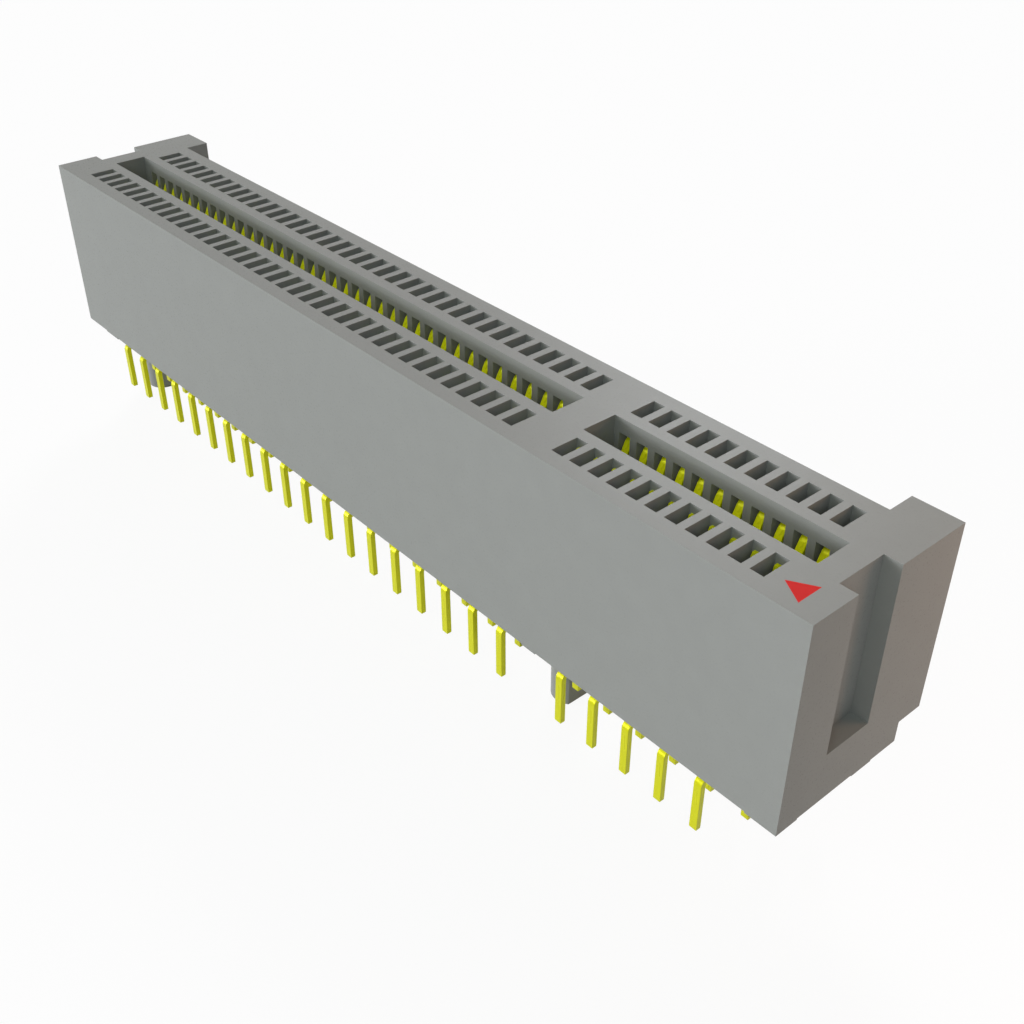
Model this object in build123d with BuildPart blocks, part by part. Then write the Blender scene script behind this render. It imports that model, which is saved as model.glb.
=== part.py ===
from build123d import *
import os

# A card edge connector: one moulded housing with a keyed card slot, and a spring contact
# on each side of the slot at every position. All sizes are in millimetres.
# Z = 0 is the board surface that the stand-off pads seat on, and +Z points at the card.
# X runs along the slot towards the pin one end, and Y = 0 is the middle of the slot.

# Positions along the slot, counted from the pin one end
pitch = 1.00
short_section_positions = 11
long_section_positions = 38
key_step = 3.00

# Moulded body, which runs on past the last contact at both ends
end_margin = 3.00
body_width = 7.31
body_height = 10.02

# Stand-off pads under the body
pad_height = 1.00
pad_width = 1.25
pad_face_margin = 0.71
pad_end_margin = 0.44
end_pad_length = 1.55
key_pad_length = 0.92

# Ears on the far side, flush with the top and the end faces
ear_length = 2.25
ear_depth = 1.37
ear_height = 8.98

# Open notch down the middle of each end face
notch_width = 2.50
notch_depth = 0.80
notch_height = 7.50

# Card slot, in two sections with a solid key between them
slot_width = 1.79
cavity_depth = 7.50
slot_end_margin = 1.04
slot_key_margin = 0.59

# Contact cells beside the slot, joined to it by a window under a solid web
cell_width = 0.625
cell_length = 1.40
web_thickness = 0.59
web_height = 0.71

# Locating pegs on the centre line, the one by the key with a flat side
peg_radius = 0.97
peg_reach = 4.41
end_peg_inset = 1.18
key_peg_offset = 0.17

# Painted triangle at the pin one end, filling a shallow recess in the top face
mark_side = 1.25
mark_depth = 0.05
mark_end_margin = 1.05
mark_face_margin = 0.555

# Contact strip: behind the web at its tip, across the slot at its apex, then back to the grip
strip_width = 0.365
strip_thickness = 0.265
tip_thickness = 0.18
tip_drop = 0.39
tip_clearance = 0.01
knee_clearance = 0.09
lead_in_reach = 0.37
lead_in_fall = 0.35
apex_corner_reach = 0.375
apex_corner_drop = 2.43
apex_radius = 0.80
grip_distance = 2.25
grip_rise = 0.30

# Widened blade, from bend to bend, that holds the contact in the floor of the housing
blade_width = 0.50
grip_clearance = 0.01

# Tails, bent inwards or outwards under the body to two rows a side
inner_row_distance = 1.25
row_spacing = 2.00
tail_width = 0.39
tail_reach = 2.31
run_drop = 0.48
bend_chamfer = 0.20

# Levels and places that follow from the sizes above
underside = pad_height
top = pad_height + body_height
cavity_floor = top - cavity_depth
floor_thickness = body_height - cavity_depth
positions = short_section_positions + long_section_positions
field_length = (positions - 2) * pitch + key_step
housing_length = field_length + 2 * end_margin
cell_inner_face = slot_width / 2 + web_thickness
cell_centre = cell_inner_face + cell_length / 2
outer_row_distance = inner_row_distance + row_spacing
apex_corner = slot_width / 2 - apex_corner_reach
knee_drop = web_height + knee_clearance
grip_face = grip_distance - strip_thickness / 2


def contact_x(number):
    """The place of one position along the slot, counted from the pin one end."""
    beyond_key = key_step - pitch if number > short_section_positions else 0
    return field_length / 2 - (number - 1) * pitch - beyond_key


key_x = contact_x(short_section_positions) - key_step / 2
key_peg_x = key_x - key_peg_offset
end_peg_x = end_peg_inset - housing_length / 2
slot_sections = [
    (contact_x(short_section_positions) - slot_key_margin, contact_x(1) + slot_end_margin),
    (contact_x(positions) - slot_end_margin, contact_x(short_section_positions + 1) + slot_key_margin),
]
contact_places = [contact_x(number) for number in range(1, positions + 1)]


def mark_outline():
    """Corners of the equilateral triangle, which points along the slot at position one."""
    base_x = housing_length / 2 - mark_end_margin
    apex_x = base_x - mark_side * 3**0.5 / 2
    middle_y = mark_face_margin + mark_side / 2 - body_width / 2
    return [
        (apex_x, middle_y),
        (base_x, middle_y - mark_side / 2),
        (base_x, middle_y + mark_side / 2),
    ]


# Housing: one moulding with its pads, pegs and ears
with BuildPart() as housing:
    with BuildSketch(Plane.XY.offset(underside)):
        Rectangle(housing_length, body_width)
    extrude(amount=body_height)

    with BuildSketch(Plane.XY.offset(top)):
        for end in (-1, 1):
            with Locations((end * (housing_length - ear_length) / 2, (body_width + ear_depth) / 2)):
                Rectangle(ear_length, ear_depth)
    extrude(amount=-ear_height)

    pad_y = body_width / 2 - pad_face_margin - pad_width / 2
    end_pad_x = housing_length / 2 - pad_end_margin - end_pad_length / 2
    with BuildSketch(Plane.XY.offset(underside)):
        with Locations((-end_pad_x, pad_y), (-end_pad_x, -pad_y), (end_pad_x, pad_y), (end_pad_x, -pad_y)):
            Rectangle(end_pad_length, pad_width)
        with Locations((key_x, pad_y), (key_x, -pad_y)):
            Rectangle(key_pad_length, pad_width)
    extrude(amount=-pad_height)

    with BuildSketch(Plane.XY.offset(underside)):
        with Locations((end_peg_x, 0)):
            Circle(peg_radius)
        with Locations((key_peg_x, 0)):
            Circle(peg_radius)
        with Locations((key_x + key_pad_length / 2, 0)):
            Rectangle(peg_radius, 2 * peg_radius, align=(Align.MIN, Align.CENTER), mode=Mode.SUBTRACT)
    extrude(amount=-(pad_height + peg_reach))

    with BuildSketch(Plane.XY.offset(top)):
        for end in (-1, 1):
            with Locations((end * (housing_length - notch_depth) / 2, 0)):
                Rectangle(notch_depth, notch_width)
    extrude(amount=-notch_height, mode=Mode.SUBTRACT)

    with BuildSketch(Plane.XY.offset(top)):
        for low_x, high_x in slot_sections:
            with Locations(((low_x + high_x) / 2, 0)):
                Rectangle(high_x - low_x, slot_width)
        with Locations([(x, side * cell_centre) for x in contact_places for side in (-1, 1)]):
            Rectangle(cell_width, cell_length)
    extrude(amount=-cavity_depth, mode=Mode.SUBTRACT)

    with BuildSketch(Plane.XY.offset(top - web_height)):
        with Locations([(x, 0) for x in contact_places]):
            Rectangle(cell_width, 2 * cell_inner_face)
    extrude(amount=web_height - cavity_depth, mode=Mode.SUBTRACT)

    with BuildSketch(Plane.XY.offset(cavity_floor)):
        with Locations([(x, side * grip_distance) for x in contact_places for side in (-1, 1)]):
            Rectangle(blade_width + 2 * grip_clearance, strip_thickness + 2 * grip_clearance)
    extrude(amount=-floor_thickness, mode=Mode.SUBTRACT)

    with BuildSketch(Plane.XY.offset(top)):
        Polygon(*mark_outline(), align=None)
    extrude(amount=-mark_depth, mode=Mode.SUBTRACT)

with BuildPart() as pin_one_mark:
    with BuildSketch(Plane.XY.offset(top)):
        Polygon(*mark_outline(), align=None)
    extrude(amount=-mark_depth)


def beside(corners, gap):
    """Corners of the line that runs beside the given one, a fixed gap to its left."""
    runs = [(after - before).normalized() for before, after in zip(corners, corners[1:])]
    normals = [Vector(-run.Y, run.X) for run in runs]
    normals = normals[:1] + normals + normals[-1:]
    return [
        corner + (before + after) * (gap / (1 + before.dot(after)))
        for corner, before, after in zip(corners, normals, normals[1:])
    ]


def strip_faces(outer_tail):
    """Corners of the strip's front face, which looks at the slot, and of its back, tip to tail.

    Each corner is a distance from the middle of the slot and a height.
    """
    tip_face = cell_inner_face + tip_clearance
    run_top = underside - run_drop
    if outer_tail:
        run_level = run_top - strip_thickness
        tail_face = outer_row_distance - strip_thickness / 2
    else:
        run_level = run_top
        tail_face = inner_row_distance - strip_thickness / 2
    front = [
        Vector(tip_face, top - tip_drop),
        Vector(tip_face, top - knee_drop),
        Vector(tip_face - lead_in_reach, top - knee_drop - lead_in_fall),
        Vector(apex_corner, top - apex_corner_drop),
        Vector(grip_face, cavity_floor + grip_rise),
        Vector(grip_face, run_level),
        Vector(tail_face, run_level),
        Vector(tail_face, -tail_reach),
    ]
    back = beside(front, strip_thickness)
    back[0] = front[0] + Vector(tip_thickness, 0)
    return front, back


os.makedirs("parts", exist_ok=True)

housing.part.label = "housing"
export_step(housing.part, "parts/housing.step")
pin_one_mark.part.label = "pin_one_mark"
export_step(pin_one_mark.part, "parts/pin_one_mark.step")

for number, x in enumerate(contact_places, start=1):
    with BuildPart() as contact_pair:
        for side in (-1, 1):
            # The two contacts at one position bend to different rows, so the tails stand staggered
            outer_tail = (number % 2 == 0) == (side < 0)
            front, back = strip_faces(outer_tail)
            apex = front[3]
            tail_bend = back[6] if outer_tail else front[6]

            spring = front[:5] + back[4::-1]
            with BuildSketch(Plane.YZ.offset(x)):
                Polygon(*[(side * corner.X, corner.Y) for corner in spring], align=None)
                fillet(vertices().sort_by_distance((side * apex.X, apex.Y))[0], radius=apex_radius)
            extrude(amount=strip_width / 2, both=True)

            blade = [front[4], front[5], back[5], back[4]]
            with BuildSketch(Plane.YZ.offset(x)):
                Polygon(*[(side * corner.X, corner.Y) for corner in blade], align=None)
            extrude(amount=blade_width / 2, both=True)

            tail = front[5:] + back[:4:-1]
            with BuildSketch(Plane.YZ.offset(x)):
                Polygon(*[(side * corner.X, corner.Y) for corner in tail], align=None)
                chamfer(vertices().sort_by_distance((side * tail_bend.X, tail_bend.Y))[0], bend_chamfer)
            extrude(amount=tail_width / 2, both=True)
    contact_pair.part.label = f"contact_pair_{number:02d}"
    export_step(contact_pair.part, f"parts/contact_pair_{number:02d}.step")
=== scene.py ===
import math

import bmesh
import bpy
from mathutils import Matrix, Vector


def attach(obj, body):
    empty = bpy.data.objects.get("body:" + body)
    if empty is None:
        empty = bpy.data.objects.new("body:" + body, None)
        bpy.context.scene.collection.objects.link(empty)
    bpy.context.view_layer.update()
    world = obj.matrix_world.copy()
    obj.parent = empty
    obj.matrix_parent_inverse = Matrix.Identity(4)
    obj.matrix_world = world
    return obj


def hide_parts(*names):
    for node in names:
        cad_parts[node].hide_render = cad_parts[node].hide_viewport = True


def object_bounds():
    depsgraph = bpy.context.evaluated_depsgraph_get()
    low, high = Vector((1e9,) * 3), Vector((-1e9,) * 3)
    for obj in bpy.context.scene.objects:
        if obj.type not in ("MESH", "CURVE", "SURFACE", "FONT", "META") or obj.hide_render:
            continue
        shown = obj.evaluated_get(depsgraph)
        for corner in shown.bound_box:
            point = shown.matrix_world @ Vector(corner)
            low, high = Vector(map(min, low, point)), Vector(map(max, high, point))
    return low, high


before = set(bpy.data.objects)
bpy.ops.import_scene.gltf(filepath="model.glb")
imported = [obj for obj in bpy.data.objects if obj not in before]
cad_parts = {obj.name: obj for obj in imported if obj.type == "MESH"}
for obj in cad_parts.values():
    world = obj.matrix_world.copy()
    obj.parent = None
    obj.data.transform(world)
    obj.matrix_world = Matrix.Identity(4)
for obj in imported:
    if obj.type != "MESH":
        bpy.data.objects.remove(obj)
cad_box = [[round(value, 6) for value in corner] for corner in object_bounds()]
MM = 0.001

# Sizes that the contacts share with the solids, in millimetres. A FACE is a distance from the slot's
# middle to the strip's front, and a DROP is measured down from the top of the housing.
TOP = 11.02
CAVITY_FLOOR = 3.52
PITCH = 1.0
SHORT_SECTION = 11
POSITIONS = 49
KEY_STEP = 3.0
FIRST_X = 25.0
WIDTH = 0.365
BLADE_WIDTH = 0.5
TAIL_WIDTH = 0.39
THICKNESS = 0.265
TIP_THICKNESS = 0.18
TIP_FACE = 1.495
TIP_DROP = 0.39
KNEE_DROP = 0.8
LEAD_IN_FACE = 1.125
LEAD_IN_DROP = 1.15
APEX_FACE = 0.52
APEX_DROP = 2.43
GRIP_FACE = 2.1175
GRIP_RISE = 0.30
RUN_TOP = 0.52
INNER_ROW = 1.25
OUTER_ROW = 3.25
TAIL_REACH = 2.31

# Radii of the strip's bends on its middle line, from tip to tail
KNEE_RADIUS = 0.22
LEAD_IN_RADIUS = 0.45
APEX_RADIUS = 0.68
GRIP_RADIUS = 0.50
TAIL_RADIUS = 0.23

# Broken edges of the strip, the tapers beside its blade, and the spacing of its sections
EDGE = 0.008
SHOULDER = 0.2
SECTION_STEP = 0.12
ARC_STEP_DEG = 9


# Materials

def new_material(name, specular):
    """A material with its shader, and the object's coordinates that its detail hangs on."""
    mat = bpy.data.materials.new(name)
    mat.use_nodes = True
    tree = mat.node_tree
    shader = tree.nodes["Principled BSDF"]
    shader.inputs["Specular IOR Level"].default_value = specular
    coords = tree.nodes.new("ShaderNodeTexCoord")
    return mat, tree, shader, coords.outputs["Object"]


def noise(tree, coords, scale, detail, stretch=None):
    """A noise texture at so many waves a metre, drawn out along an axis if asked."""
    if stretch:
        mapping = tree.nodes.new("ShaderNodeMapping")
        mapping.inputs["Scale"].default_value = stretch
        tree.links.new(coords, mapping.inputs["Vector"])
        coords = mapping.outputs["Vector"]
    node = tree.nodes.new("ShaderNodeTexNoise")
    node.inputs["Scale"].default_value = scale
    node.inputs["Detail"].default_value = detail
    tree.links.new(coords, node.inputs["Vector"])
    return node.outputs["Fac"]


def spread(tree, value, low, high, span=(0.3, 0.7)):
    """Maps a value's span, by default a noise's middle range, to low ... high."""
    node = tree.nodes.new("ShaderNodeMapRange")
    node.inputs["From Min"].default_value = span[0]
    node.inputs["From Max"].default_value = span[1]
    node.inputs["To Min"].default_value = low
    node.inputs["To Max"].default_value = high
    tree.links.new(value, node.inputs["Value"])
    return node.outputs["Result"]


def two_tone(tree, shader, factor, dark, light):
    """Colours the surface from dark to light as the factor goes from 0 to 1."""
    mix = tree.nodes.new("ShaderNodeMix")
    mix.data_type = "RGBA"
    mix.inputs["A"].default_value = (*dark, 1)
    mix.inputs["B"].default_value = (*light, 1)
    tree.links.new(factor, mix.inputs["Factor"])
    tree.links.new(mix.outputs["Result"], shader.inputs["Base Color"])


def bump(tree, shader, height, distance, strength):
    """Raises the surface by the given distance in metres where the height is 1."""
    node = tree.nodes.new("ShaderNodeBump")
    node.inputs["Distance"].default_value = distance
    node.inputs["Strength"].default_value = strength
    tree.links.new(height, node.inputs["Height"])
    tree.links.new(node.outputs["Normal"], shader.inputs["Normal"])


def srgb(red, green, blue):
    """A colour written as 0 ... 255, as the linear values that a shader takes."""
    def linear(value):
        value /= 255
        return value / 12.92 if value <= 0.04045 else ((value + 0.055) / 1.055) ** 2.4
    return linear(red), linear(green), linear(blue)


def moulded_plastic():
    """Matte grey plastic with a fine grain."""
    mat, tree, shader, coords = new_material("moulded_plastic", specular=0.03)
    cloud = spread(tree, noise(tree, coords, 900, 4), 0, 1)
    two_tone(tree, shader, cloud, srgb(148, 149, 145), srgb(150, 151, 147))
    grain = noise(tree, coords, 9000, 2)
    bump(tree, shader, grain, 0.000004, 0.16)
    tree.links.new(spread(tree, grain, 0.26, 0.34), shader.inputs["Roughness"])
    return mat


def gold_plating():
    """Gold plate, painted lighter above 3 mm as a painted highlight on the gold inside the slot, whose
    walls shade it, fading to the plain gold of the tails below 1 mm.
    """
    mat, tree, shader, coords = new_material("gold_plating", specular=0.12)
    place = tree.nodes.new("ShaderNodeSeparateXYZ")
    tree.links.new(coords, place.inputs["Vector"])
    # Painted light: above 3 mm, fading out below 1 mm, the gold is painted lighter to stand in for light
    # that the slot walls keep off; the same zone also sets a lower metal share
    painted_light_zone = spread(tree, place.outputs["Z"], 0, 1, (0.001, 0.003))
    tree.links.new(spread(tree, painted_light_zone, 0.21, 0.13, (0, 1)), shader.inputs["Metallic"])
    cloud = spread(tree, noise(tree, coords, 700, 3), -0.03, 0.03)
    painted_light_and_tone = tree.nodes.new("ShaderNodeMath")
    painted_light_and_tone.operation = "ADD"
    tree.links.new(painted_light_zone, painted_light_and_tone.inputs[0])
    tree.links.new(cloud, painted_light_and_tone.inputs[1])
    # The lighter end of this colour is painted light, and a faint random tone is added to it
    two_tone(tree, shader, painted_light_and_tone.outputs["Value"], srgb(211, 211, 18), srgb(252, 254, 24))
    rolled = noise(tree, coords, 5200, 2, stretch=(1, 1, 0.12))
    bump(tree, shader, rolled, 0.000002, 0.05)
    tree.links.new(spread(tree, rolled, 0.26, 0.32), shader.inputs["Roughness"])
    return mat


def mark_paint():
    """Matte red paint."""
    mat, tree, shader, coords = new_material("mark_paint", specular=0.03)
    cloud = spread(tree, noise(tree, coords, 1500, 3), 0, 1)
    two_tone(tree, shader, cloud, srgb(217, 41, 38), srgb(222, 45, 42))
    bump(tree, shader, noise(tree, coords, 14000, 2), 0.000004, 0.4)
    return mat


# Contacts

def contact_x(number):
    """The place of one position along the slot, counted from the pin one end."""
    beyond_key = KEY_STEP - PITCH if number > SHORT_SECTION else 0
    return FIRST_X - (number - 1) * PITCH - beyond_key


def centre_line(outer_tail):
    """The strip's middle line from tip to tail as (distance from the slot's middle, height, bend radius).

    Its corners lie half the strip's thickness behind those of the front face, which looks at the slot.
    """
    half = THICKNESS / 2
    run_face = RUN_TOP - THICKNESS if outer_tail else RUN_TOP
    tail_face = (OUTER_ROW if outer_tail else INNER_ROW) - half
    front = [
        (TIP_FACE, TOP - TIP_DROP, 0),
        (TIP_FACE, TOP - KNEE_DROP, KNEE_RADIUS),
        (LEAD_IN_FACE, TOP - LEAD_IN_DROP, LEAD_IN_RADIUS),
        (APEX_FACE, TOP - APEX_DROP, APEX_RADIUS),
        (GRIP_FACE, CAVITY_FLOOR + GRIP_RISE, GRIP_RADIUS),
        (GRIP_FACE, run_face, TAIL_RADIUS),
        (tail_face, run_face, TAIL_RADIUS),
        (tail_face, -TAIL_REACH, 0),
    ]
    corners = [Vector(corner[:2]) for corner in front]
    runs = [(after - before).normalized() for before, after in zip(corners, corners[1:])]
    normals = [Vector((-run.y, run.x)) for run in runs]
    normals = normals[:1] + normals + normals[-1:]
    line = []
    for (_, _, radius), corner, before, after in zip(front, corners, normals, normals[1:]):
        middle = corner + (before + after) * (half / (1 + before.dot(after)))
        line.append((middle.x, middle.y, radius))
    return line


def rounded_path(corners):
    """Points along straight runs joined by arcs, each with the direction of the strip there."""
    path = []
    points = [Vector(corner[:2]) for corner in corners]
    for index, point in enumerate(points):
        if index in (0, len(points) - 1):
            other = points[1] if index == 0 else points[-2]
            way = (other - point) if index == 0 else (point - other)
            path.append((point, way.normalized()))
            continue
        before = (point - points[index - 1]).normalized()
        after = (points[index + 1] - point).normalized()
        turn = before.angle_signed(after)
        radius = corners[index][2]
        reach = radius * math.tan(abs(turn) / 2)
        start = point - before * reach
        steps = max(3, int(abs(turn) / math.radians(ARC_STEP_DEG)))
        side = 1 if turn > 0 else -1
        normal = Vector((before.y, -before.x)) * side
        centre = start + normal * radius
        for step in range(steps + 1):
            angle = -turn * step / steps
            way = Matrix.Rotation(angle, 2) @ before
            out = Matrix.Rotation(angle, 2) @ (start - centre)
            path.append((centre + out, way.normalized()))
    return path


def strip_width(height):
    """How wide the strip is at a height: widest in the floor of the housing, which holds it there."""
    grip_top = CAVITY_FLOOR + GRIP_RISE
    stations = [
        (TOP, WIDTH),
        (grip_top, WIDTH),
        (grip_top - SHOULDER, BLADE_WIDTH),
        (RUN_TOP + SHOULDER, BLADE_WIDTH),
        (RUN_TOP, TAIL_WIDTH),
        (-TAIL_REACH, TAIL_WIDTH),
    ]
    for (high, at_high), (low, at_low) in zip(stations, stations[1:]):
        if height >= low:
            share = (high - height) / (high - low)
            return at_high + (at_low - at_high) * min(max(share, 0), 1)
    return stations[-1][1]


def strip_thickness(height):
    """The strip is coined thinner towards its tip."""
    share = min(max((TOP - TIP_DROP - height) / (KNEE_DROP - TIP_DROP), 0), 1)
    return TIP_THICKNESS + (THICKNESS - TIP_THICKNESS) * share


def dense(path):
    """The path with points added along its long runs, where the width changes."""
    full = [path[0]]
    for (start, _), (end, way) in zip(path, path[1:]):
        count = max(1, int((end - start).length / SECTION_STEP))
        for step in range(1, count + 1):
            full.append((start.lerp(end, step / count), way))
    return full


def add_strip(bm, side, outer_tail):
    """One contact in the mesh: a strip with broken edges swept along its line."""
    rings = []
    path = dense(rounded_path(centre_line(outer_tail)))
    for index, (point, way) in enumerate(path):
        half_width = strip_width(point.y) / 2
        half_thick = strip_thickness(point.y) / 2
        if index in (0, len(path) - 1):
            half_width -= EDGE / 2
            half_thick -= EDGE / 2
        across = Vector((way.y, -way.x))
        # The tip is coined on its back only, so its front stays on one plane
        shift = half_thick - THICKNESS / 2 if point.y > TOP - KNEE_DROP else 0
        corner = [(half_width, half_thick - EDGE), (half_width - EDGE, half_thick)]
        section = corner + [(-u, v) for u, v in reversed(corner)]
        section += [(-u, -v) for u, v in corner] + [(u, -v) for u, v in reversed(corner)]
        ring = []
        for u, v in section:
            spot = point + across * v + Vector((shift, 0))
            ring.append(bm.verts.new((u * MM, side * spot.x * MM, spot.y * MM)))
        rings.append(ring)
    for first, second in zip(rings, rings[1:]):
        count = len(first)
        for k in range(count):
            bm.faces.new((first[k], first[(k + 1) % count], second[(k + 1) % count], second[k]))
    bm.faces.new(rings[0])
    bm.faces.new(rings[-1])


def pair_mesh(name, material, near_is_outer):
    """The two contacts that face each other at one position, one of them with its tail in the outer row."""
    bm = bmesh.new()
    add_strip(bm, -1, near_is_outer)
    add_strip(bm, 1, not near_is_outer)
    bmesh.ops.recalc_face_normals(bm, faces=bm.faces)
    mesh = bpy.data.meshes.new(name)
    bm.to_mesh(mesh)
    bm.free()
    mesh.materials.append(material)
    # The sides are shaded smooth round the bends, and the two ends stay flat
    for polygon in mesh.polygons:
        polygon.use_smooth = len(polygon.vertices) == 4
    mesh.set_sharp_from_angle(angle=math.radians(30))
    return mesh


plastic = moulded_plastic()
gold = gold_plating()
paint = mark_paint()

for node, material in (("housing", plastic), ("pin_one_mark", paint)):
    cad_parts[node].data.materials.clear()
    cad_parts[node].data.materials.append(material)

odd_pair = pair_mesh("contact_pair_odd", gold, near_is_outer=False)
even_pair = pair_mesh("contact_pair_even", gold, near_is_outer=True)
for number in range(1, POSITIONS + 1):
    mesh = odd_pair if number % 2 else even_pair
    contact = bpy.data.objects.new(f"formed_contacts_{number:02d}", mesh)
    bpy.context.collection.objects.link(contact)
    contact.location = (contact_x(number) * MM, 0, 0)
    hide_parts(f"contact_pair_{number:02d}")
    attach(contact, "root")


# Floor, light and camera

def seen_by_eye(tree):
    """1 where the camera looks straight at the surface or sees it mirrored or through glass, else 0."""
    ray = tree.nodes.new("ShaderNodeLightPath")
    seen = ray.outputs["Is Camera Ray"]
    for kind in ("Is Glossy Ray", "Is Transmission Ray"):
        either = tree.nodes.new("ShaderNodeMath")
        either.operation = "MAXIMUM"
        tree.links.new(seen, either.inputs[0])
        tree.links.new(ray.outputs[kind], either.inputs[1])
        seen = either.outputs["Value"]
    return seen


def floor_material():
    """A pale floor that the camera sees as near white, with a light shadow of the object left on it."""
    mat = bpy.data.materials.new("floor")
    mat.use_nodes = True
    tree = mat.node_tree
    tree.nodes.remove(tree.nodes["Principled BSDF"])
    lit = tree.nodes.new("ShaderNodeBsdfDiffuse")
    lit.inputs["Color"].default_value = (0.7, 0.7, 0.7, 1)
    shadowed = tree.nodes.new("ShaderNodeBsdfDiffuse")
    shadowed.inputs["Color"].default_value = (1, 1, 1, 1)
    bright = tree.nodes.new("ShaderNodeEmission")
    seen = tree.nodes.new("ShaderNodeMixShader")
    seen.inputs["Fac"].default_value = 0.92
    tree.links.new(shadowed.outputs["BSDF"], seen.inputs[1])
    tree.links.new(bright.outputs["Emission"], seen.inputs[2])
    choose = tree.nodes.new("ShaderNodeMixShader")
    tree.links.new(seen_by_eye(tree), choose.inputs["Fac"])
    tree.links.new(lit.outputs["BSDF"], choose.inputs[1])
    tree.links.new(seen.outputs["Shader"], choose.inputs[2])
    tree.links.new(choose.outputs["Shader"], tree.nodes["Material Output"].inputs["Surface"])
    return mat


floor_level = cad_box[0][2]
bpy.ops.mesh.primitive_plane_add(size=4, location=(0, 0, floor_level))
floor = bpy.context.object
floor.name = "floor"
floor.data.materials.append(floor_material())


def studio_world(strength):
    """An even white surround that the camera sees as plain white."""
    world = bpy.data.worlds.new("world")
    world.use_nodes = True
    tree = world.node_tree
    surround = tree.nodes["Background"]
    surround.inputs["Color"].default_value = (1, 1, 1, 1)
    surround.inputs["Strength"].default_value = strength
    white = tree.nodes.new("ShaderNodeBackground")
    white.inputs["Color"].default_value = (1, 1, 1, 1)
    choose = tree.nodes.new("ShaderNodeMixShader")
    tree.links.new(seen_by_eye(tree), choose.inputs["Fac"])
    tree.links.new(surround.outputs["Background"], choose.inputs[1])
    tree.links.new(white.outputs["Background"], choose.inputs[2])
    tree.links.new(choose.outputs["Shader"], tree.nodes["World Output"].inputs["Surface"])
    return world


bpy.context.scene.world = studio_world(0.15)


def add_sun(name, share, towards, spread_deg, colour):
    """A soft sun that adds that share of full brightness to a face turned straight towards it."""
    light = bpy.data.lights.new(name, "SUN")
    light.energy = share * math.pi
    light.angle = math.radians(spread_deg)
    light.color = colour
    sun = bpy.data.objects.new(name, light)
    bpy.context.collection.objects.link(sun)
    sun.rotation_euler = Vector(towards).to_track_quat("Z", "Y").to_euler()


add_sun("key_sun", 0.72, (-0.640, -0.763, 0.087), 20, (1.0, 1.02, 1.09))
add_sun("front_sun", 0.15, (-0.62, -0.65, 0.44), 24, (1.0, 0.97, 0.9))
add_sun("fill_sun", 0.16, (0.49, -0.66, 0.57), 35, (0.97, 1.13, 1.2))
add_sun("top_sun", 0.10, (-0.08, -0.46, 0.88), 35, (1.0, 1.1, 0.95))
add_sun("back_sun", 0.2, (-0.56, 0.56, 0.62), 40, (1.08, 0.9, 0.95))
add_sun("sheen_sun", 0.30, (-0.52, 0.65, 0.55), 14, (0.96, 1.0, 1.03))


def add_lamp(name, watts, place, towards, size, colour):
    """A small square lamp near the object, turned to a point on it. Lengths are in metres."""
    light = bpy.data.lights.new(name, "AREA")
    light.energy = watts
    light.size = size
    light.color = colour
    lamp = bpy.data.objects.new(name, light)
    bpy.context.collection.objects.link(lamp)
    lamp.location = place
    lamp.rotation_euler = (Vector(place) - Vector(towards)).to_track_quat("Z", "Y").to_euler()


add_lamp("side_lamp", 0.0018, (0.042, 0.018, 0.015), (0.028, 0.002, 0.008), 0.012, (1.0, 0.56, 0.34))

# The camera's place, in millimetres, and its directions follow the photograph's viewing angle
camera_data = bpy.data.cameras.new("camera")
camera_data.sensor_width = 36
camera_data.lens = 44.245
camera_data.clip_start = 0.001
camera_data.clip_end = 10
camera = bpy.data.objects.new("camera", camera_data)
bpy.context.collection.objects.link(camera)
right = Vector((0.654993, 0.755635, -0.0000972))
down = Vector((0.433823, -0.376147, -0.818725))
ahead = Vector((-0.618694, 0.536217, -0.574185))
turn = Matrix((right, -down, -ahead)).transposed().to_4x4()
place = Vector((45.0477, -31.2149, 37.1632)) * MM
camera.matrix_world = Matrix.Translation(place) @ turn
bpy.context.scene.camera = camera

bpy.context.scene.view_settings.view_transform = "Standard"
